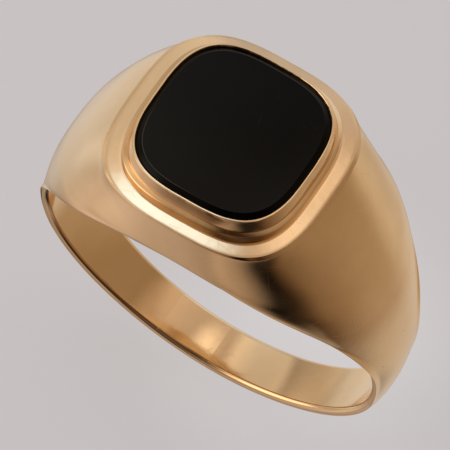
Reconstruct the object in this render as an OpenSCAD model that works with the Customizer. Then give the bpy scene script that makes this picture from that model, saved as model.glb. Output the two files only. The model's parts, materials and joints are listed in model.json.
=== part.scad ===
// Signet ring: a tapered shank that rises into a cushion-shaped head, a soldered head plate,
// a stepped bezel in two rings, a bearing ring inside it, and a flat bevelled onyx.
// The origin is the centre of the finger bore. The bore runs along Y and the stone faces +Z.

/* [Shank] */
// Diameter of the finger bore
bore_d = 20; // [19:0.5:21]
// Width of the shank at the back of the finger
back_w = 2.74; // [2.2:0.02:3.2]
// Thickness of the shank at the back of the finger, on its centre line
back_t = 1.35; // [1.1:0.05:1.6]
// Thickness left at the two edges of the shank
edge_t = 0.35; // [0.2:0.05:0.5]
// Arc of the sizing insert that was let into the shank, in degrees
insert_arc = 18; // [10:1:30]
// Where the sizing insert begins, in degrees from the back of the shank
insert_from = 3; // [0:1:20]

/* [Head] */
// Size of the head plate across the shoulders
head_x = 11.76; // [11.2:0.02:12.4]
// Size of the head plate along the finger
head_y = 11.6; // [11.2:0.02:11.8]
// Height of the top of the head plate above the wall of the bore
head_rise = 3.34; // [3:0.02:3.6]
// Thickness of the head plate
plate_t = 0.3; // [0.25:0.05:0.5]
// Height that the ledge falls from the foot of the bezel to the edge of the head plate
ledge_drop = 0.1; // [0:0.02:0.16]
// Squareness of the cushion outline, where 2 is an ellipse
cushion_power = 3.1; // [2.6:0.1:3.6]

/* [Bezel] */
// Width of the ledge between the edge of the head plate and the foot of the bezel
ledge_w = 0.7; // [0.5:0.05:0.9]
// Height of the bezel above the head plate
bezel_h = 1.5; // [1.4:0.05:1.7]
// Height of the lower step of the bezel
collar_h = 0.7; // [0.5:0.05:0.8]
// Thickness of the lower step at its foot
collar_w = 0.25; // [0.2:0.05:0.3]
// Thickness of the bezel wall at its foot
wall_w = 0.37; // [0.32:0.01:0.42]
// Distance that the bezel lip leans in over the stone
lip_w = 0.12; // [0.1:0.01:0.2]

/* [Stone] */
// Width of the bevel around the table of the stone
bevel_w = 0.42; // [0.3:0.02:0.5]
// Height of the bevel from the girdle to the table of the stone
bevel_h = 0.24; // [0.2:0.01:0.3]
// Thickness of the stone
stone_t = 1.5; // [1.3:0.05:1.5]
// Width of the bearing ring that the stone rests on
bearing_w = 0.7; // [0.5:0.05:1]

/* [Hidden] */

bore_r = bore_d / 2;
plate_top = bore_r + head_rise;
plate_base = plate_top - plate_t;
rim_z = plate_top + bezel_h;

// The shoulders spread under the head plate, and its two faces follow them.
shoulder_spread = 0.25;
front_spread = 0.02;

// Half sizes of the cushion outline at the edge of the head plate
plate_half = [head_x / 2, head_y / 2];
// Insets from that outline to the faces of the bezel and the stone
foot_inset = ledge_w;
collar_inset = foot_inset + collar_w;
wall_inset = collar_inset + wall_w;
rim_inset = wall_inset - 0.05;
lip_inset = rim_inset + lip_w;
bearing_inset = wall_inset + bearing_w;
// The lip meets the bevel of the stone here, and lies on it down to the girdle.
lip_z = rim_z - lip_w;
girdle_z = lip_z - (lip_inset - wall_inset) * bevel_h / bevel_w;
table_z = girdle_z + bevel_h;
stone_base = table_z - stone_t;

// Steps of the mesh: round a quarter cushion, down the head, round half the shank, across a section
quarter = 16;
head_levels = 5;
half_turn = 30;
section = 6;
// Radius of the form inside the bore, which the bore then cuts away
core_r = bore_r - 0.15;

// Angle from the back of the shank to the edge of the head, and to where the shoulders leave it
head_angle = 180 - atan2(plate_half[0] + shoulder_spread, plate_base);
leave_angle = head_angle - 9;
head_reach = norm([plate_half[0] + shoulder_spread, plate_base]);

// Outer line of the shank: thickness over the bore at angles from the back
line_at = [0, 35, 60, 75, 90, 105, 120, 130, 140, head_angle, 180];
line_t = [back_t, back_t - 0.05, 0.85, 0.65, 0.6, 0.75, 1.35, 2, 2.8, head_reach - bore_r, head_reach - bore_r + 3];
// Half width of the shank at angles from the back
width_at = [0, 40, 75, 105, 130, 155, 180];
width_half = [back_w / 2, back_w / 2 + 0.1, 1.87, 2.5, 4.02, 5.62, 5.98];
// Squareness of the sections, from the head plate to the back of the shank
power_at = [-head_levels, 0, half_turn / 6, half_turn / 3, half_turn];
power = [cushion_power, 2.75, 2.25, 2.05, 2];
// How fast the steps widen down the head, along its faces and along its centre line
edge_easing = 2;
line_easing = 2.7;

function mix(a, b, t) = a + (b - a) * t;
function span(xs, x) = max([for (i = [0 : len(xs) - 2]) if (x >= xs[i]) i]);
function slope(xs, ys, i) =
    i == 0 || i == len(xs) - 1 ? 0 : (ys[i + 1] - ys[i - 1]) / (xs[i + 1] - xs[i - 1]);
// A smooth curve through the points (xs, ys), level at both ends
function smooth(xs, ys, x) =
    let (i = span(xs, x), h = xs[i + 1] - xs[i], t = (x - xs[i]) / h)
    let (a = slope(xs, ys, i) * h, b = slope(xs, ys, i + 1) * h)
    let (d = ys[i + 1] - ys[i])
    ys[i] + a * t + (3 * d - 2 * a - b) * t ^ 2 + (a + b - 2 * d) * t ^ 3;

function line_r(angle) = bore_r + smooth(line_at, line_t, angle);
function half_width(angle) = smooth(width_at, width_half, angle);
// Place in the plane y = 0 at a radius and an angle from the back of the shank
function around(r, angle) = [r * sin(angle), 0, -r * cos(angle)];

// Section number i: from -head_levels at the head plate, through 0, to half_turn at the back.
// Down the head the steps widen, to meet the steps of the shank.
function edge_point(i) =
    i < 0
    ? let (t = (1 + i / head_levels) ^ edge_easing)
      [0, mix(plate_half[1] + front_spread, half_width(180), t), mix(plate_base, bore_r + edge_t, t)]
    : let (angle = 180 * (1 - i / half_turn))
      around(bore_r + edge_t, angle) + [0, half_width(angle), 0];
function line_point(i) =
    let (angle = i < 0
        ? mix(head_angle, leave_angle, (1 + i / head_levels) ^ line_easing)
        : leave_angle * (1 - i / half_turn))
    around(line_r(angle), angle);

// The edge turns a corner where the head meets the bore. Points away from the edge, by a share
// c of the way to the centre line, follow the mean of its neighbours and so turn smoothly.
function eased_edge(i, c) =
    let (reach = c * min(3, i + head_levels, half_turn - i))
    (edge_point(i - reach) + edge_point(i - reach / 2) + edge_point(i)
        + edge_point(i + reach / 2) + edge_point(i + reach)) / 5;

// Point j of section i on one side: j runs from -section at the front edge to section at the back
// edge. Each section is a quarter of a superellipse, from the centre line to the edge.
function skin_point(i, j, side) =
    let (angle = 90 * abs(j) / section, power = smooth(power_at, power, i))
    let (c = cos(angle) ^ (2 / power), s = sin(angle) ^ (2 / power))
    let (g = line_point(i), f = eased_edge(i, c))
    [side * mix(f[0], g[0], c), sign(j) * f[1] * s, mix(f[2], g[2], c)];

// The solid form of shank and head, with no bore
module ring_form() {
    row = 4 * section;
    arc = 2 * section + 1;
    loops = head_levels + 1;
    // Closed loops of the head, from the plate down, then the arcs of the right and left sides
    head_points = [
        for (i = [-head_levels : 0])
            for (m = [0 : row - 1])
                m <= 2 * section ? skin_point(i, m - section, 1) : skin_point(i, 3 * section - m, -1)
    ];
    right_points = [for (i = [1 : half_turn]) for (j = [-section : section]) skin_point(i, j, 1)];
    left_points = [for (i = [1 : half_turn - 1]) for (j = [-section : section]) skin_point(i, j, -1)];
    // The inside edges run round the bore from the head, down the right side and up the left
    turn = 2 * half_turn;
    inner_points = [
        for (side = [-1, 1])
            for (i = [0 : turn - 1])
                let (angle = 180 * (1 - i / half_turn))
                around(core_r, angle) + [0, side * half_width(abs(angle)), 0]
    ];
    right_start = loops * row;
    left_start = right_start + half_turn * arc;
    inner_start = left_start + (half_turn - 1) * arc;

    function head_id(k, m) = k * row + m % row;
    function right_id(i, j) = i == 0 ? head_id(loops - 1, j) : right_start + (i - 1) * arc + j;
    function left_id(i, j) =
        i == 0 ? head_id(loops - 1, row - j)
        : i == half_turn ? right_id(half_turn, j)
        : left_start + (i - 1) * arc + j;
    function edge_id(i, j) = i <= half_turn ? right_id(i, j) : left_id(turn - i, j);
    function inner_id(i, back) = inner_start + back * turn + i % turn;
    function quad(a, b, c, d) = [[a, b, c], [a, c, d]];

    cap = [[for (m = [0 : row - 1]) row - 1 - m]];
    head_faces = [
        for (k = [0 : loops - 2])
            for (m = [0 : row - 1])
                each quad(head_id(k, m), head_id(k, m + 1), head_id(k + 1, m + 1), head_id(k + 1, m))
    ];
    side_faces = [
        for (i = [0 : half_turn - 1])
            for (j = [0 : 2 * section - 1])
                each concat(
                    quad(right_id(i, j), right_id(i, j + 1), right_id(i + 1, j + 1), right_id(i + 1, j)),
                    quad(left_id(i, j), left_id(i + 1, j), left_id(i + 1, j + 1), left_id(i, j + 1))
                )
    ];
    end_faces = [
        for (i = [0 : turn - 1])
            each concat(
                quad(edge_id(i, 0), edge_id((i + 1) % turn, 0), inner_id(i + 1, 0), inner_id(i, 0)),
                quad(
                    edge_id(i, 2 * section), inner_id(i, 1),
                    inner_id(i + 1, 1), edge_id((i + 1) % turn, 2 * section)
                ),
                quad(inner_id(i, 0), inner_id(i + 1, 0), inner_id(i + 1, 1), inner_id(i, 1))
            )
    ];
    polyhedron(
        points = concat(head_points, right_points, left_points, inner_points),
        faces = concat(cap, head_faces, side_faces, end_faces)
    );
}

// The round hole for the finger
module finger_bore() {
    rotate([90, 0, 0])
        cylinder(h = 2 * head_y, r = bore_r, center = true, $fn = 180);
}

// Wedge that holds the sizing insert, on the left side of the back of the shank
module insert_wedge() {
    reach = 2 * bore_r;
    first = 270 - insert_from;
    last = first - insert_arc;
    rotate([90, 0, 0])
        linear_extrude(height = 2 * back_w + 2, center = true)
            polygon([[0, 0], reach * [cos(last), sin(last)], reach * [cos(first), sin(first)]]);
}

// Loop of points on the cushion outline, inset from the edge of the head plate
function cushion_point(half, angle) =
    let (c = cos(angle), s = sin(angle))
    let (r = (abs(c / half[0]) ^ cushion_power + abs(s / half[1]) ^ cushion_power) ^ (-1 / cushion_power))
    [r * c, r * s];
function cushion_loop(grow, z) = [
    for (m = [0 : 4 * quarter - 1])
        let (p = cushion_point([plate_half[0] + grow[0], plate_half[1] + grow[1]], 90 * m / quarter))
        [p[0], p[1], z]
];

// Solid with a cushion outline through levels [growth across, growth along, height], bottom first
module cushion_solid(levels) {
    row = 4 * quarter;
    top = (len(levels) - 1) * row;
    polyhedron(
        points = [for (level = levels) each cushion_loop([level[0], level[1]], level[2])],
        faces = concat(
            [[for (m = [0 : row - 1]) m]],
            [[for (m = [0 : row - 1]) top + row - 1 - m]],
            [
                for (k = [0 : len(levels) - 2])
                    for (m = [0 : row - 1])
                        each let (n = (m + 1) % row, a = k * row, b = a + row)
                        [[a + m, b + m, b + n], [a + m, b + n, a + n]]
            ]
        )
    );
}

// Ring with a cushion outline and the section [inset, height], listed from the inside of the
// foot outwards and up
module cushion_ring(profile) {
    row = 4 * quarter;
    count = len(profile);
    polyhedron(
        points = [for (p = profile) each cushion_loop([-p[0], -p[0]], p[1])],
        faces = [
            for (k = [0 : count - 1])
                for (m = [0 : row - 1])
                    each let (n = (m + 1) % row, a = k * row, b = (k + 1) % count * row)
                    [[a + m, b + m, b + n], [a + m, b + n, a + n]]
        ]
    );
}

// Shoulders, head block and back of the shank in one casting
module shank_body() {
    color([0.80, 0.60, 0.36])
        difference() {
            ring_form();
            finger_bore();
            insert_wedge();
        }
}

// Piece let into the shank when the ring was made larger
module sizing_insert() {
    color([0.86, 0.66, 0.40])
        difference() {
            intersection() {
                ring_form();
                insert_wedge();
            }
            finger_bore();
        }
}

// Plate soldered on the head, with a ledge that falls outwards and a window for the bearing ring
module head_plate() {
    window = -wall_inset;
    edge_z = plate_top - ledge_drop;
    color([0.93, 0.78, 0.52])
        difference() {
            cushion_solid([
                [shoulder_spread, front_spread, plate_base],
                [0.02, 0, edge_z - 0.04],
                [-0.04, -0.04, edge_z],
                [-foot_inset, -foot_inset, plate_top]
            ]);
            cushion_solid([
                [window, window, plate_base - 1],
                [window, window, plate_top + 1]
            ]);
        }
}

// Lower step of the bezel, a wire with a rounded top
module bezel_collar() {
    crown = 0.06;
    color([0.72, 0.50, 0.28])
        cushion_ring([
            [collar_inset, plate_top],
            [foot_inset, plate_top],
            [foot_inset + 0.04, plate_top + collar_h / 2],
            [foot_inset + 0.12, plate_top + collar_h - crown],
            [foot_inset + 0.19, plate_top + collar_h],
            [collar_inset, plate_top + collar_h - crown / 2]
        ]);
}

// Upper step of the bezel, rubbed over the edge of the stone
module bezel_wall() {
    rim_round = 0.03;
    color([0.76, 0.55, 0.32])
        cushion_ring([
            [wall_inset, plate_top],
            [collar_inset, plate_top],
            [collar_inset, plate_top + collar_h],
            [rim_inset - 0.04, rim_z - 0.06],
            [rim_inset + rim_round, rim_z],
            [lip_inset, lip_z],
            [wall_inset, girdle_z]
        ]);
}

// Ring inside the bezel that carries the stone
module bearing_ring() {
    color([0.70, 0.48, 0.26])
        cushion_ring([
            [bearing_inset, plate_base],
            [wall_inset, plate_base],
            [wall_inset, stone_base],
            [bearing_inset, stone_base]
        ]);
}

// Flat stone with a polished table and a bevelled edge
module onyx_stone() {
    table = -wall_inset - bevel_w;
    color([0.05, 0.05, 0.05])
        cushion_solid([
            [-wall_inset, -wall_inset, stone_base],
            [-wall_inset, -wall_inset, girdle_z],
            [table, table, table_z]
        ]);
}

shank_body();
sizing_insert();
head_plate();
bezel_collar();
bezel_wall();
bearing_ring();
onyx_stone();
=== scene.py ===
import json
import math

import bmesh
import bpy
import numpy as np
from mathutils import Matrix, Vector, noise as smooth_noise


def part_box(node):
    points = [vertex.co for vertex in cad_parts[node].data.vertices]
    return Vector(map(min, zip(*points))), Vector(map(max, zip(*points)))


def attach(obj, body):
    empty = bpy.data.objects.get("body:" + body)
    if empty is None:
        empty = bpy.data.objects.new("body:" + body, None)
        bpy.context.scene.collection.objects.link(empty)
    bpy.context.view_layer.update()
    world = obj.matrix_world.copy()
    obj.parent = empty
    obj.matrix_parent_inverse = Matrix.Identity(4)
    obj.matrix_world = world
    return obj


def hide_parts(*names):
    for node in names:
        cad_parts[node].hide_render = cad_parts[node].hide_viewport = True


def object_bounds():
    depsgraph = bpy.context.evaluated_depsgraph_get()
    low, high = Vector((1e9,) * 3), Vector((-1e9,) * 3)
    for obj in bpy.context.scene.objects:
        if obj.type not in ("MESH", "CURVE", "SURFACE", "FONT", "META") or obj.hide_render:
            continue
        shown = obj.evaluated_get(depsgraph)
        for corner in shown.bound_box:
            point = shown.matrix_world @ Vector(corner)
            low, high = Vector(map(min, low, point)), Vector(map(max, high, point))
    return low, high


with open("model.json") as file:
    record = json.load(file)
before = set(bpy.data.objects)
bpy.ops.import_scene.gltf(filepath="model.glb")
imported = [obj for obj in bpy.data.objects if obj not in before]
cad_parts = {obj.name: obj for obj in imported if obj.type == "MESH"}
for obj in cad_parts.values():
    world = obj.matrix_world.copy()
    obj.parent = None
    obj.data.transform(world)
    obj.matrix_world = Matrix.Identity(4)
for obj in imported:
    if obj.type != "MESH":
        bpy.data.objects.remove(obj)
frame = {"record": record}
cad_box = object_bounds()

# ---------------------------------------------------------------- sizes, in millimetres
MM = 0.001


def node_box(node):
    """Lowest and highest corner of a CAD node, in millimetres."""
    low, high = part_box(node)
    return np.array(low) / MM, np.array(high) / MM


plate_low, plate_high = node_box("head_plate")
collar_high = node_box("bezel_collar")[1]
wall_high = node_box("bezel_wall")[1]
stone_low, stone_high = node_box("onyx_stone")

BORE_R = frame["record"]["mounts"][0]["dims"]["r_mm"]
SHOULDER_SPREAD = 0.25
FRONT_SPREAD = 0.02
PLATE_HALF = np.array([plate_high[0] - SHOULDER_SPREAD, plate_high[1] - FRONT_SPREAD])
PLATE_BASE = plate_low[2]
PLATE_TOP = plate_high[2]
LEDGE_DROP = 0.1
# The solder seam shows just under the edge of the ledge
SEAM_UNDER = 0.05
SEAM_Z = PLATE_TOP - LEDGE_DROP - SEAM_UNDER
# Power of the outline of head, bezel and stone: 2 is an ellipse, and higher is squarer
CUSHION_POWER = 3.1

# Insets from the edge of the head plate
FOOT_INSET = PLATE_HALF[0] - collar_high[0]
COLLAR_INSET = PLATE_HALF[0] - wall_high[0]
# By hand, the top of the bezel came out a touch wider than its foot, and a little to one side
EASE = np.array([-0.01, 0.07])
LEAN = np.array([0.08, 0.02])
WALL_INSET = PLATE_HALF[0] - stone_high[0]
RIM_W = 0.15
RIM_INSET = WALL_INSET - RIM_W
LIP_W = 0.17
LIP_INSET = RIM_INSET + LIP_W
RIM_Z = wall_high[2]
COLLAR_TOP = collar_high[2]
STONE_BASE = stone_low[2]
BEARING_W = 0.7
TABLE_Z = stone_high[2]
BEVEL_W = 0.32
BEVEL_RISE = 0.24
GIRDLE_Z = TABLE_Z - BEVEL_RISE

# Shank: thickness over the bore and half width, at angles from the back of the finger
EDGE_T = 0.35
HEAD_ANGLE = 180 - math.degrees(math.atan2(PLATE_HALF[0] + SHOULDER_SPREAD, PLATE_BASE))
# The shank leaves the head this many degrees before the corner of the head
LEAVE_BEFORE = 9
LEAVE_ANGLE = HEAD_ANGLE - LEAVE_BEFORE
HEAD_T = math.hypot(PLATE_HALF[0] + SHOULDER_SPREAD, PLATE_BASE) - BORE_R
LINE_AT = [0, 35, 60, 75, 90, 105, 120, 130, 140, HEAD_ANGLE, 180]
LINE_T = [1.35, 1.3, 0.85, 0.65, 0.6, 0.75, 1.35, 2, 2.8, HEAD_T, HEAD_T + 3]
WIDTH_AT = [0, 40, 75, 105, 130, 155, 180]
WIDTH_HALF = [1.37, 1.47, 1.87, 2.5, 4.02, 5.62, 5.98]
INSERT_FROM = 3
INSERT_ARC = 18


# ---------------------------------------------------------------- shape functions
def mix(a, b, t):
    return a + (b - a) * t


def smooth(xs, ys, x):
    """A smooth curve through the points (xs, ys), level at both ends."""
    i = max(k for k in range(len(xs) - 1) if x >= xs[k] or k == 0)
    h = xs[i + 1] - xs[i]
    t = (x - xs[i]) / h

    def slope(k):
        if k in (0, len(xs) - 1):
            return 0
        return (ys[k + 1] - ys[k - 1]) / (xs[k + 1] - xs[k - 1])

    a, b, d = slope(i) * h, slope(i + 1) * h, ys[i + 1] - ys[i]
    return ys[i] + a * t + (3 * d - 2 * a - b) * t**2 + (a + b - 2 * d) * t**3


def around(r, angle, y=0.0):
    """A place at radius r from the bore's axis, at an angle from the back of the finger."""
    a = math.radians(angle)
    return np.array([r * math.sin(a), y, -r * math.cos(a)])


def half_width(angle):
    return smooth(WIDTH_AT, WIDTH_HALF, angle)


# The front of the right shoulder is filed a little further back than the rest: the share of its
# width, and where, in degrees from the back of the finger
FILED = 0.042
FILED_AT = 137
FILED_SPREAD = 30


def filed(side, angle):
    """Share of the width left at an angle, on the front (-1) or the back (1)."""
    away = (angle - FILED_AT) / FILED_SPREAD
    return 1 - FILED * max(0, 1 - away**2) ** 2 if side < 0 else 1


# Fineness of the shank's mesh: under the ledge, down the head, round half the shank and across
# half a section
TOP_LEVELS = 3
HEAD_LEVELS = 20
HALF_TURN = 120
SECTION = 24
# Share of the shoulder's spread that is gone at the solder seam
SHOULDER_DRAWN_IN = 0.85
# Power of the section's rounded outline, from a cushion at the plate to an ellipse at the back
POWER_AT = [-HEAD_LEVELS, 0, HALF_TURN / 6, HALF_TURN / 3, HALF_TURN]
POWER = [CUSHION_POWER, 2.75, 2.25, 2.05, 2]
# How far the skin stays outside its edge towards the centre line, and how smoothly
SKIN_OUT = 0.04
SKIN_EASE = 0.01


def edge_point(i):
    """The front edge of section i: -HEAD_LEVELS at the plate, 0 over the bore, HALF_TURN at the back."""
    if i < -HEAD_LEVELS:
        u = (-HEAD_LEVELS - i) / TOP_LEVELS
        return np.array([0, PLATE_HALF[1] + FRONT_SPREAD * (1 - u), mix(PLATE_BASE, SEAM_Z, u)])
    if i < 0:
        t = (1 + i / HEAD_LEVELS) ** 2
        y = mix(PLATE_HALF[1] + FRONT_SPREAD, half_width(180), t)
        return np.array([0, y, mix(PLATE_BASE, BORE_R + EDGE_T, t)])
    angle = 180 * (1 - i / HALF_TURN)
    return around(BORE_R + EDGE_T, angle, half_width(abs(angle)))


def line_point(i):
    """The outer centre line of section i."""
    if i < -HEAD_LEVELS:
        u = (-HEAD_LEVELS - i) / TOP_LEVELS
        x = PLATE_HALF[0] + SHOULDER_SPREAD * (1 - SHOULDER_DRAWN_IN * u)
        return np.array([x, 0, mix(PLATE_BASE, SEAM_Z, u)])
    if i < 0:
        angle = mix(HEAD_ANGLE, LEAVE_ANGLE, (1 + i / HEAD_LEVELS) ** 2.7)
    else:
        angle = LEAVE_ANGLE * (1 - i / HALF_TURN)
    return around(BORE_R + smooth(LINE_AT, LINE_T, angle), angle)


def eased_edge(i, c):
    """The edge point, turned smoothly for points a share c of the way to the centre line."""
    reach = c * max(0, min(12, i + HEAD_LEVELS, HALF_TURN - i))
    steps = [edge_point(i + reach * k / 4) for k in range(-4, 5)]
    return sum(steps) / len(steps)


def skin_row(i):
    """Points of half a section, from the edge to the centre line, for x and y above 0."""
    power = smooth(POWER_AT, POWER, max(i, -HEAD_LEVELS))
    g = line_point(i)
    row = []
    for j in range(SECTION, -1, -1):
        angle = math.radians(90 * j / SECTION)
        c = max(math.cos(angle), 0) ** (2 / power) if j < SECTION else 0.0
        s = math.sin(angle) ** (2 / power)
        f = eased_edge(i, c)
        x, z = mix(f[0], g[0], c), mix(f[2], g[2], c)
        if i > 0:
            # Keep the skin outside the edge of the bore's wall, with a smooth change
            r = math.hypot(x, z)
            gap = BORE_R + EDGE_T + SKIN_OUT * c - r
            r_out = r + 0.5 * (gap + math.hypot(gap, SKIN_EASE * c))
            x, z = x * r_out / r, z * r_out / r
        row.append([x, f[1] * s, z])
    return np.array(row)


def new_object(name, points, faces):
    mesh = bpy.data.meshes.new(name)
    mesh.from_pydata([tuple(p) for p in np.asarray(points) * MM], [], faces)
    bm = bmesh.new()
    bm.from_mesh(mesh)
    bmesh.ops.remove_doubles(bm, verts=bm.verts, dist=1e-7)
    bmesh.ops.recalc_face_normals(bm, faces=bm.faces)
    bm.to_mesh(mesh)
    bm.free()
    piece = bpy.data.objects.new(name, mesh)
    bpy.context.scene.collection.objects.link(piece)
    return piece


def shade(piece, sharp=35):
    """Smooth shading with creases at edges sharper than an angle."""
    mesh = piece.data
    mesh.shade_smooth()
    mesh.set_sharp_from_angle(angle=math.radians(sharp))


def ring_form():
    """Shank and head in one closed mesh, with the bore and its softened edges."""
    points = []
    faces = []

    def add(p):
        points.append(p)
        return len(points) - 1

    def strip(a, b):
        faces.extend([a[k], a[k + 1], b[k + 1], b[k]] for k in range(len(a) - 1))

    first = -HEAD_LEVELS - TOP_LEVELS
    rows = {i: skin_row(i) for i in range(first, HALF_TURN + 1)}
    sections = {}
    for side in (1, -1):
        for i, row in rows.items():
            kept = filed(-side, 180 * (1 - i / HALF_TURN) if i > 0 else 180)
            front = row * [1, -kept, 1]
            whole = np.vstack([front, row[::-1][1:]]) * [side, 1, 1]
            sections[side, i] = [add(p) for p in whole]
    for side in (1, -1):
        for i in range(first, HALF_TURN):
            strip(sections[side, i], sections[side, i + 1])
    # The flat top under the plate
    right = sections[1, first]
    left = sections[-1, first]
    faces.append(right + left[::-1][1:-1])
    # End faces, softened corner and wall of the bore
    fillet = 0.24
    corner = 6
    rings = []
    for side in (-1, 1):
        for k in range(corner + 1):
            a = math.radians(90 * k / corner)
            r = BORE_R + fillet * (1 - math.sin(a))
            back = fillet * (1 - math.cos(a))
            ring = []
            for e in range(2 * HALF_TURN):
                angle = 180 * (1 - e / HALF_TURN)
                y = half_width(abs(angle)) * filed(side, angle) - back
                ring.append(add(around(r, angle, side * y)))
            rings.append(ring + ring[:1])
    front, back = rings[: corner + 1], rings[corner + 1:]
    for group in (front, back):
        for k in range(corner):
            strip(group[k], group[k + 1])
    strip(front[-1], back[-1])
    right_edge = [[sections[1, i][j] for i in range(HALF_TURN + 1)] for j in (0, -1)]
    left_edge = [[sections[-1, i][j] for i in range(HALF_TURN, -1, -1)] for j in (0, -1)]
    for group, j in ((front, 0), (back, 1)):
        strip(right_edge[j] + left_edge[j][1:], group[0])
    return new_object("ring_form", points, faces)


def cushion_loop(grow, z, count):
    """Cushion outline grown from the edge of the plate by (x, y)."""
    up = min(max((z - PLATE_TOP) / (RIM_Z - PLATE_TOP), 0), 1)
    half = PLATE_HALF + np.array(grow) + EASE * up
    a = np.linspace(0, 2 * math.pi, count, endpoint=False)
    c, s = np.cos(a), np.sin(a)
    r = (abs(c / half[0]) ** CUSHION_POWER + abs(s / half[1]) ** CUSHION_POWER) ** (-1 / CUSHION_POWER)
    x, y = LEAN * up
    # The outline is an ellipse's formula with a higher power, in polar form
    return np.stack([r * c + x, r * s + y, np.full(count, z)], 1)


# Points around each cushion outline
AROUND = 720


def uneven(points, amount, size):
    """Points of a loop moved out from the middle and back by noise, with lumps of a size."""
    moved = []
    for p in points:
        out = np.array([p[0], p[1], 0]) / math.hypot(p[0], p[1])
        lump = smooth_noise.noise(Vector(p) / size)
        moved.append(p + out * amount * lump)
    return np.array(moved)


def cushion_ring(name, profile, wear=None):
    """Ring with a cushion outline; the profile is a closed loop of (grow x, grow y, height).

    wear gives the arguments of uneven() for some loops of the profile.
    """
    loops = [cushion_loop(p[:2], p[2], AROUND) for p in profile]
    for k, marks in (wear or {}).items():
        for mark in marks:
            loops[k] = uneven(loops[k], *mark)
    points = np.vstack(loops)
    faces = []
    for k in range(len(profile)):
        a, b = k * AROUND, (k + 1) % len(profile) * AROUND
        faces += [[a + m, a + (m + 1) % AROUND, b + (m + 1) % AROUND, b + m] for m in range(AROUND)]
    return new_object(name, points, faces)


def arc(centre, radius, start, end, steps):
    """Points on an arc in the plane of (inset, height), angles in degrees."""
    angles = np.radians(np.linspace(start, end, steps + 1))
    return [(centre[0] + radius * math.cos(a), centre[1] + radius * math.sin(a)) for a in angles]


def inset(points):
    return [(-p[0], -p[0], p[1]) for p in points]


# ---------------------------------------------------------------- the pieces
def insert_wedge():
    """Wedge that the sizing insert fills, as a solid to cut with."""
    reach = 2 * BORE_R
    half = 3.0
    first = -INSERT_FROM
    last = -INSERT_FROM - INSERT_ARC
    corners = [np.zeros(3), around(reach, first), around(reach, last)]
    points = [c + np.array([0, y, 0]) for y in (-half, half) for c in corners]
    faces = [[0, 1, 2], [3, 5, 4], [0, 3, 4, 1], [1, 4, 5, 2], [2, 5, 3, 0]]
    return new_object("insert_wedge", points, faces)


def cut(piece, cutter, operation):
    modifier = piece.modifiers.new("cut", "BOOLEAN")
    modifier.operation = operation
    modifier.solver = "EXACT"
    modifier.object = cutter
    depsgraph = bpy.context.evaluated_depsgraph_get()
    mesh = bpy.data.meshes.new_from_object(piece.evaluated_get(depsgraph))
    piece.modifiers.clear()
    piece.data = mesh


def make_shank():
    shank = ring_form()
    shank.name = "shank"
    insert = shank.copy()
    insert.data = shank.data.copy()
    insert.name = "sizing_piece"
    bpy.context.scene.collection.objects.link(insert)
    wedge = insert_wedge()
    cut(shank, wedge, "DIFFERENCE")
    cut(insert, wedge, "INTERSECT")
    bpy.data.objects.remove(wedge)
    return shank, insert


def make_plate():
    """Ledge that falls outwards, with a softened edge and the fine groove of its solder seam."""
    window = -WALL_INSET
    edge = 0.03
    edge_z = PLATE_TOP - LEDGE_DROP
    profile = [(window, window, SEAM_Z), (window, window, PLATE_TOP)]
    profile += inset([
        (FOOT_INSET * t, mix(edge_z, PLATE_TOP, t)) for t in (1, 0.8, 0.6, 0.4, 0.2)
    ])
    for p in arc((0, 0), edge, 80, 0, 5):
        profile.append((p[0] - edge + 0.02, p[0] - edge + 0.01, edge_z - edge + p[1]))
    profile += [(0, -0.01, edge_z - edge - 0.01), (-0.02, -0.03, SEAM_Z)]
    # Filing left the edge a little uneven
    wear = {k: [(0.006, 0.5)] for k in range(7, 15)}
    return cushion_ring("ledge_plate", profile, wear)


def make_collar():
    """Lower step of the bezel, a wire with a rounded shoulder."""
    shoulder = 0.1
    turn = 62
    foot = FOOT_INSET + 0.02
    run = COLLAR_INSET - foot - shoulder * (1 - math.cos(math.radians(turn)))
    rise = run * math.tan(math.radians(90 - turn))
    low = COLLAR_TOP - rise - shoulder * math.sin(math.radians(turn))
    profile = inset([(COLLAR_INSET, PLATE_TOP), (FOOT_INSET, PLATE_TOP)])
    profile += inset(arc((foot + shoulder, low), shoulder, 180, 180 - turn, 6))
    profile += inset([(COLLAR_INSET, COLLAR_TOP)])
    return cushion_ring("bezel_step", profile)


def make_bezel():
    """Upper step of the bezel, with a narrow burnished rim and a lip over the stone."""
    bead = 0.035
    flat = 0.05
    fall = math.radians(9)
    profile = inset([(WALL_INSET, PLATE_TOP), (COLLAR_INSET, PLATE_TOP), (COLLAR_INSET, COLLAR_TOP)])
    foot = RIM_Z - bead - flat * math.sin(fall)
    profile += inset([
        (mix(COLLAR_INSET, RIM_INSET, t ** 1.15), mix(COLLAR_TOP, foot, t))
        for t in (0.15, 0.3, 0.45, 0.6, 0.75, 0.9)
    ])
    # Round, then nearly flat and falling outwards, then a lip that slopes in to the stone
    profile += inset(arc((RIM_INSET + bead, foot), bead, 180, 99, 5))
    centre = (RIM_INSET + bead + flat * math.cos(fall), foot + flat * math.sin(fall))
    profile += inset(arc(centre, bead, 99, 48, 6))
    profile += inset([(LIP_INSET, RIM_Z - 0.105), (LIP_INSET, RIM_Z - 0.13), (WALL_INSET, GIRDLE_Z)])
    # The rim was rubbed over the stone by hand
    wear = {k: [(0.012, 0.9), (0.006, 0.25)] for k in range(9, 23)}
    return cushion_ring("bezel_rim", profile, wear)


def make_bearing():
    outer, inner = WALL_INSET, WALL_INSET + BEARING_W
    return cushion_ring("bearing", inset([
        (inner, SEAM_Z), (outer, SEAM_Z), (outer, STONE_BASE), (inner, STONE_BASE)
    ]))


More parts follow.
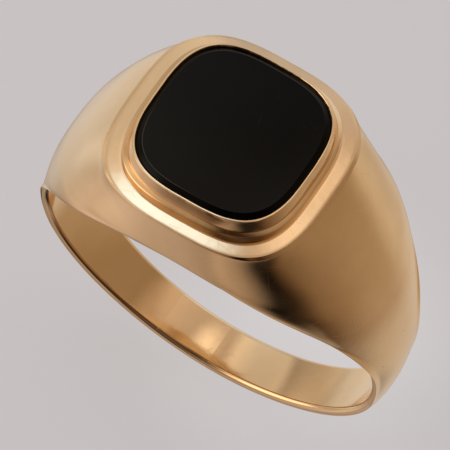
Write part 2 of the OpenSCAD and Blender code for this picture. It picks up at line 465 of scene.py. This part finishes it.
def make_stone():
    """Flat stone: back, girdle, bevel and polished table, with a hair-thin rounded arris."""
    arris = 0.03
    chamfer = 0.1
    levels = [
        (WALL_INSET + chamfer, STONE_BASE),
        (WALL_INSET, STONE_BASE + chamfer),
        (WALL_INSET, GIRDLE_Z),
    ]
    slope = math.degrees(math.atan2(BEVEL_RISE, BEVEL_W))
    inner = WALL_INSET + BEVEL_W
    radius = arris / math.tan(math.radians(slope / 2))
    levels += arc((inner + arris, TABLE_Z - radius), radius, 90 + slope, 90, 4)
    points = np.vstack([cushion_loop((-p[0], -p[0]), p[1], AROUND) for p in levels])
    faces = [list(range(AROUND - 1, -1, -1))]
    for k in range(len(levels) - 1):
        a, b = k * AROUND, (k + 1) * AROUND
        faces += [[a + m, a + (m + 1) % AROUND, b + (m + 1) % AROUND, b + m] for m in range(AROUND)]
    faces.append([(len(levels) - 1) * AROUND + m for m in range(AROUND)])
    return new_object("stone", points, faces)


# ---------------------------------------------------------------- materials
# Mean roughness that wear adds to polished gold
WORN = 0.08
# What the gold's colour is multiplied by in its deeper clouds, and the dirt in its dents
DEEPER = (0.94, 0.91, 0.87)
DIRT = (0.16, 0.08, 0.04)


def node(tree, kind, inputs=None, **settings):
    """A new node with its settings, its inputs set to values or linked to sockets."""
    made = tree.nodes.new("ShaderNode" + kind)
    for key, value in settings.items():
        setattr(made, key, value)
    for key, value in (inputs or {}).items():
        if isinstance(value, bpy.types.NodeSocket):
            tree.links.new(value, made.inputs[key])
        else:
            made.inputs[key].default_value = value
    return made


def calc(tree, operation, a, b=0.0, clamp=False):
    return node(tree, "Math", {0: a, 1: b}, operation=operation, use_clamp=clamp).outputs[0]


def ramp(tree, value, start, end, low=0.0, high=1.0):
    """Goes smoothly from low to high as the value goes from start to end."""
    settings = {"Value": value, "From Min": start, "From Max": end, "To Min": low, "To Max": high}
    return node(tree, "MapRange", settings, interpolation_type="SMOOTHSTEP").outputs[0]


def object_place(tree):
    """Coordinates of the object in millimetres."""
    place = node(tree, "TexCoord").outputs["Object"]
    return node(tree, "VectorMath", {0: place, "Scale": 1 / MM}, operation="SCALE").outputs[0]


def noise(tree, place, size, detail=2.0, seed=0.0):
    """Noise between 0 and 1 with features of a size in millimetres."""
    inputs = {"Vector": place, "W": seed, "Scale": 1 / size, "Detail": detail}
    return node(tree, "TexNoise", inputs, noise_dimensions="4D").outputs["Fac"]


def hairlines(tree, place, turn, length, width, share, seed):
    """Straight scratches in random directions: 1 on a line and 0 elsewhere."""
    angles = tuple(math.radians(v) for v in turn)
    stretch = (1 / length, 1.9 / length, 1.4 / length)
    inputs = {"Vector": place, "Rotation": angles, "Scale": stretch, "Location": (seed, 2 * seed, 0)}
    turned = node(tree, "Mapping", inputs).outputs[0]
    cells = node(tree, "TexVoronoi", {"Vector": turned, "Scale": 1.0}, feature="DISTANCE_TO_EDGE")
    line = ramp(tree, cells.outputs["Distance"], 0, width / length, 1, 0)
    patch = ramp(tree, noise(tree, place, length * 0.7, 1, seed), share, share + 0.06)
    return calc(tree, "MULTIPLY", line, patch)


def pits(tree, place, spacing, size, share, seed):
    """Small round dents, in a share of the cells of a grid: 1 in the middle of a dent."""
    moved = node(tree, "Mapping", {"Vector": place, "Location": (seed, seed, seed)}).outputs[0]
    cells = node(tree, "TexVoronoi", {"Vector": moved, "Scale": 1 / spacing})
    dent = ramp(tree, cells.outputs["Distance"], 0, size / spacing, 1, 0)
    chance = node(tree, "SeparateColor", {0: cells.outputs["Color"]}).outputs[0]
    return calc(tree, "MULTIPLY", dent, ramp(tree, chance, share, share + 0.02, 1, 0))


def add_up(tree, parts):
    """The sum of sockets, each times its weight."""
    total = 0.0
    for socket, weight in parts:
        total = node(
            tree, "Math", {0: socket, 1: weight, 2: total}, operation="MULTIPLY_ADD"
        ).outputs[0]
    return total


def mix_colours(tree, share, a, b):
    """A colour that goes from a to b as the share goes from 0 to 1."""
    mixed = node(tree, "Mix", {"Factor": share}, data_type="RGBA")
    # Sockets for colours come after those for numbers and vectors
    for identifier, value in (("A_Color", a), ("B_Color", b)):
        socket = next(i for i in mixed.inputs if i.identifier == identifier)
        if isinstance(value, bpy.types.NodeSocket):
            tree.links.new(value, socket)
        else:
            socket.default_value = (*value, 1)
    return next(o for o in mixed.outputs if o.identifier == "Result_Color")


def gold_material(name, colour, rough, polish, wear, seed):
    """Worn polished gold: cloudy colour, hairline scratches, small dents and a wavy surface.

    rough is the roughness outside and polish that of the bore; wear is how many marks it has.
    """
    material = bpy.data.materials.new(name)
    material.use_nodes = True
    tree = material.node_tree
    shader = tree.nodes["Principled BSDF"]
    place = object_place(tree)
    clouds = noise(tree, place, 3.2, 3, seed)
    smudges = noise(tree, place, 0.8, 4, seed + 1)
    grain = noise(tree, place, 0.09, 2, seed + 2)
    long_lines = hairlines(tree, place, (20, 35, 10), 5.0, 0.018, 0.5, seed + 3)
    cross_lines = hairlines(tree, place, (75, -20, 60), 3.1, 0.016, 0.52, seed + 4)
    short_lines = hairlines(tree, place, (-40, 60, 115), 1.3, 0.012, 0.55, seed + 5)
    dents = pits(tree, place, 1.7, 0.07, 0.3, seed + 6)
    # The bore is more polished than the outside
    x, _, z = node(tree, "SeparateXYZ", {0: place}).outputs
    square = calc(tree, "ADD", calc(tree, "MULTIPLY", x, x), calc(tree, "MULTIPLY", z, z))
    from_axis = calc(tree, "SQRT", square)
    outside = ramp(tree, from_axis, BORE_R + 0.02, BORE_R + 0.12)

    deep = tuple(c * d for c, d in zip(colour, DEEPER))
    cloudy = add_up(tree, [(clouds, 0.75), (smudges, 0.45)])
    tone = mix_colours(tree, ramp(tree, cloudy, 0.36, 0.86), deep, colour)
    dirt = calc(tree, "MULTIPLY", dents, 0.55 * wear)
    tree.links.new(mix_colours(tree, dirt, tone, DIRT), shader.inputs["Base Color"])

    lines = add_up(tree, [(long_lines, 1.0), (cross_lines, 1.0), (short_lines, 0.8)])
    marks = add_up(tree, [(smudges, 0.08), (clouds, 0.06), (lines, 0.14 * wear), (grain, 0.02)])
    limits = {"Value": outside, "To Min": polish - WORN, "To Max": rough - WORN}
    base = node(tree, "MapRange", limits).outputs[0]
    tree.links.new(calc(tree, "ADD", base, marks, clamp=True), shader.inputs["Roughness"])

    height = add_up(tree, [
        (clouds, 0.024), (smudges, 0.003), (grain, 0.0002),
        (long_lines, -0.0008 * wear), (cross_lines, -0.0007 * wear), (short_lines, -0.0006 * wear),
        (dents, -0.012 * wear),
    ])
    bump = node(tree, "Bump", {"Height": height, "Strength": 1.0, "Distance": MM})
    tree.links.new(bump.outputs[0], shader.inputs["Normal"])
    shader.inputs["Metallic"].default_value = 1
    return material


# The stone's reflections are weak in the photograph
ONYX_SPECULAR = 0.12


def onyx_material():
    """Black onyx with a high polish, a hazy table with a painted sheen towards the front, a painted
    highlight on the arris, hairlines and specks of dust.
    """
    material = bpy.data.materials.new("black_onyx")
    material.use_nodes = True
    tree = material.node_tree
    shader = tree.nodes["Principled BSDF"]
    place = object_place(tree)
    fine = hairlines(tree, place, (10, 25, 40), 2.6, 0.012, 0.6, 3.3)
    finer = hairlines(tree, place, (60, -30, 80), 1.4, 0.01, 0.62, 8.1)
    haze = noise(tree, place, 2.5, 3, 5.0)
    specks = pits(tree, place, 1.3, 0.03, 0.12, 2.7)
    marks = add_up(tree, [(fine, 0.6), (finer, 0.5), (specks, 0.7)])
    # The table has a fine haze of wear and a painted sheen that grows towards the front; the bevel is
    # clear
    x, y, z = node(tree, "SeparateXYZ", {0: place}).outputs
    on_table = ramp(tree, z, TABLE_Z - 0.03, TABLE_Z - 0.005)
    haze_and_front_sheen = ramp(tree, y, 1.5, -4.5, 0.002, 0.0085)
    haze_and_front_sheen = calc(tree, "MULTIPLY", haze_and_front_sheen, ramp(tree, haze, 0, 1, 0.85, 1.15))
    table_haze_and_sheen = calc(tree, "MULTIPLY", haze_and_front_sheen, on_table)
    # The arris between them has a painted highlight on the left and in front
    over = ramp(tree, z, TABLE_Z - 0.018, TABLE_Z - 0.012)
    under = ramp(tree, z, TABLE_Z - 0.004, TABLE_Z - 0.0005, 1, 0)
    corner = ramp(tree, calc(tree, "ADD", calc(tree, "MULTIPLY", x, 0.8), y), -3.6, -5.4)
    arris = calc(tree, "MULTIPLY", calc(tree, "MULTIPLY", over, under), corner)
    grey = add_up(tree, [(table_haze_and_sheen, 1.0), (marks, 0.016), (arris, 0.06)])
    grey = calc(tree, "ADD", grey, 0.0008)
    tone = node(tree, "CombineColor", {0: grey, 1: calc(tree, "MULTIPLY", grey, 1.04), 2: grey})
    tree.links.new(tone.outputs[0], shader.inputs["Base Color"])
    rough = add_up(tree, [(haze, 0.06), (marks, 0.25)])
    tree.links.new(calc(tree, "ADD", rough, 0.03, clamp=True), shader.inputs["Roughness"])
    height = add_up(tree, [(haze, 0.002), (fine, -0.0006), (finer, -0.0005)])
    bump = node(tree, "Bump", {"Height": height, "Strength": 1.0, "Distance": MM})
    tree.links.new(bump.outputs[0], shader.inputs["Normal"])
    shader.inputs["Specular IOR Level"].default_value = ONYX_SPECULAR
    return material


# ---------------------------------------------------------------- camera, light and floor
VIEW_AZIMUTH = 31.3
VIEW_ELEVATION = 62.75
VIEW_ROLL = 0.95
VIEW_DISTANCE = 984 * MM
VIEW_TARGET = Vector((-1.15, 1.35, 0.9)) * MM
LENS = 1500


def add_camera():
    a, e, r = (math.radians(v) for v in (VIEW_AZIMUTH, VIEW_ELEVATION, VIEW_ROLL))
    back = Vector((math.sin(a) * math.cos(e), -math.cos(a) * math.cos(e), math.sin(e)))
    level = (-back).cross(Vector((0, 0, 1))).normalized()
    lift = level.cross(-back)
    right = math.cos(r) * level + math.sin(r) * lift
    up = math.cos(r) * lift - math.sin(r) * level
    data = bpy.data.cameras.new("camera")
    data.lens = LENS
    data.clip_end = 10
    camera = bpy.data.objects.new("camera", data)
    bpy.context.scene.collection.objects.link(camera)
    turn = Matrix((right, up, back)).transposed().to_4x4()
    camera.matrix_world = Matrix.Translation(VIEW_TARGET + VIEW_DISTANCE * back) @ turn
    bpy.context.scene.camera = camera


# Glow of the floor and of the background, and the floor's own colour
FLOOR_COLOUR = (0.445, 0.435, 0.447)
FLOOR_PAINT = (0.25, 0.24, 0.245)
# The floor is a little lighter under the ring: middle and radii of the pool of light, in millimetres
POOL_AT = (2.8, 3.5)
POOL_INNER = 2
POOL_OUTER = 11
POOL_GAIN = 1.2
# Soft lights all round, as (azimuth, elevation, half width, soft edge), in degrees, and colour.
# Azimuth 0 is the front of the ring, and 90 its right side. All rows but the last came from a
# scratch program that fitted them to the reflections in the photograph, as report.md says.
LIGHTS = [
    (-117, 72, 1, 10, (0.78, 1.21, 1.67)),
    (-176, 70, 0, 12, (0.66, 0.59, 0.50)),
    (-101, -12, 23, 33, (0.26, 0.24, 0.20)),
    (-35, -2, 20, 16, (0.38, 0.33, 0.30)),
    (112, 13, 14, 57, (0.32, 0.24, 0.16)),
    (119, -76, 20, 20, (0.21, 0.23, 0.24)),
    (-46, -48, 0, 33, (0.63, 0.58, 0.56)),
    (-122, 48, 15, 8, (0.36, 0.35, 0.32)),
    (-144, 45, 51, 11, (0.23, 0.20, 0.18)),
    (-165, 19, 18, 30, (0.22, 0.29, 0.38)),
    (151, 72, 27, 15, (0.26, 0.21, 0.17)),
    (-30, -64, 73, 27, (0.12, 0.08, 0.05)),
    (-50, 41, 10, 26, (0.71, 0.57, 0.42)),
    (173, -8, 41, 14, (0.19, 0.20, 0.20)),
    (-115, -33, 15, 24, (0.26, 0.32, 0.38)),
    (26, -49, 20, 8, (0.30, 0.26, 0.23)),
    (170, -40, 26, 49, (0.26, 0.23, 0.19)),
    (-74, -13, 25, 10, (0.14, 0.15, 0.17)),
    (21, 35, 5, 28, (0.07, 0.07, 0.07)),
    (-87, 19, 5, 25, (0.31, 0.24, 0.16)),
    (-45, 15, 19, 12, (1.10, 0.95, 0.75)),
]
# Dark things low in the room, as the same four angles, and how dark they are. The first two came
# from the same program, and the others were set by hand.
DARK_SIDES = [
    (39, -35, 4, 31),
    (83, -75, 6, 19),
    (-4, -20, 6, 10),
    (27, -15, 11, 8),
]
DARKNESS = 0.95
# Light from everywhere else, fitted the same way too
AMBIENT = (0.03, 0.01, 0.00)


def patch_of_light(tree, direction, azimuth, elevation, half_width, soft_edge):
    """1 within half_width degrees of a direction, falling to 0 over the soft edge."""
    a, e = math.radians(azimuth), math.radians(elevation)
    axis = (math.sin(a) * math.cos(e), -math.cos(a) * math.cos(e), math.sin(e))
    dot = node(tree, "VectorMath", {0: direction, 1: axis}, operation="DOT_PRODUCT").outputs["Value"]
    angle = calc(tree, "ARCCOSINE", dot)
    return ramp(tree, angle, math.radians(half_width), math.radians(half_width + soft_edge), 1, 0)


def add_world():
    """Light room with soft light all round; the camera itself sees it plain."""
    world = bpy.data.worlds.new("studio")
    world.use_nodes = True
    tree = world.node_tree
    direction = node(tree, "TexCoord").outputs["Generated"]
    total = AMBIENT
    for *shape, colour in LIGHTS:
        share = patch_of_light(tree, direction, *shape)
        added = {0: share, 1: colour, 2: total}
        total = node(tree, "VectorMath", added, operation="MULTIPLY_ADD").outputs[0]
    left = 1.0
    for shape in DARK_SIDES:
        dark = patch_of_light(tree, direction, *shape)
        kept = calc(tree, "SUBTRACT", 1.0, calc(tree, "MULTIPLY", dark, DARKNESS))
        left = calc(tree, "MULTIPLY", kept, left)
    room = node(tree, "VectorMath", {0: total, "Scale": left}, operation="SCALE").outputs[0]
    background = tree.nodes["Background"]
    tree.links.new(room, background.inputs["Color"])
    plain = node(tree, "Background", {"Color": (*FLOOR_COLOUR, 1)})
    seen = node(tree, "LightPath").outputs["Is Camera Ray"]
    mixed = node(tree, "MixShader", {0: seen, 1: background.outputs[0], 2: plain.outputs[0]})
    tree.links.new(mixed.outputs[0], tree.nodes["World Output"].inputs["Surface"])
    bpy.context.scene.world = world


def add_floor():
    """Pale floor that mostly glows, like a light table; the gold reflects the room instead."""
    low = cad_box[0][2]
    # Half the floor's side, in metres
    half = 1.5
    corners = [(-half, -half, low), (half, -half, low), (half, half, low), (-half, half, low)]
    mesh = bpy.data.meshes.new("floor")
    mesh.from_pydata(corners, [], [[0, 1, 2, 3]])
    floor = bpy.data.objects.new("floor", mesh)
    bpy.context.scene.collection.objects.link(floor)
    material = bpy.data.materials.new("pale_floor")
    material.use_nodes = True
    tree = material.node_tree
    shader = tree.nodes["Principled BSDF"]
    middle = (*POOL_AT, low / MM)
    away = node(tree, "VectorMath", {0: object_place(tree), 1: middle}, operation="DISTANCE")
    gain = ramp(tree, away.outputs["Value"], POOL_INNER, POOL_OUTER, POOL_GAIN, 1)
    tree.links.new(gain, shader.inputs["Emission Strength"])
    shader.inputs["Base Color"].default_value = (*FLOOR_PAINT, 1)
    shader.inputs["Roughness"].default_value = 0.9
    shader.inputs["Specular IOR Level"].default_value = 0
    shader.inputs["Emission Color"].default_value = (*FLOOR_COLOUR, 1)
    floor.data.materials.append(material)
    floor.visible_glossy = False


add_camera()
add_world()
add_floor()
bpy.context.scene.view_settings.view_transform = "Standard"

GOLD = (0.91, 0.665, 0.40)
INSERT_GOLD = (0.94, 0.70, 0.43)
PLATE_GOLD = (0.93, 0.69, 0.43)
shank_gold = gold_material("shank_gold", GOLD, rough=0.16, polish=0.1, wear=1.0, seed=1)
insert_gold = gold_material("insert_gold", INSERT_GOLD, rough=0.16, polish=0.09, wear=0.7, seed=21)
plate_gold = gold_material("plate_gold", PLATE_GOLD, rough=0.12, polish=0.12, wear=0.8, seed=43)
bezel_gold = gold_material("bezel_gold", GOLD, rough=0.1, polish=0.1, wear=1.1, seed=67)
shank, sizing_piece = make_shank()
pieces = [
    (shank, "shank_body", "gold", shank_gold),
    (sizing_piece, "sizing_insert", "insert_gold", insert_gold),
    (make_plate(), "head_plate", "plate_gold", plate_gold),
    (make_collar(), "bezel_collar", "bezel_gold", bezel_gold),
    (make_bezel(), "bezel_wall", "bezel_gold", bezel_gold),
    (make_bearing(), "bearing_ring", "bezel_gold", bezel_gold),
    (make_stone(), "onyx_stone", "onyx", onyx_material()),
]
for piece, cad_node, slot, material in pieces:
    piece.data.materials.clear()
    piece.data.materials.append(material)
    shade(piece)
    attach(piece, "root")
    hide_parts(cad_node)
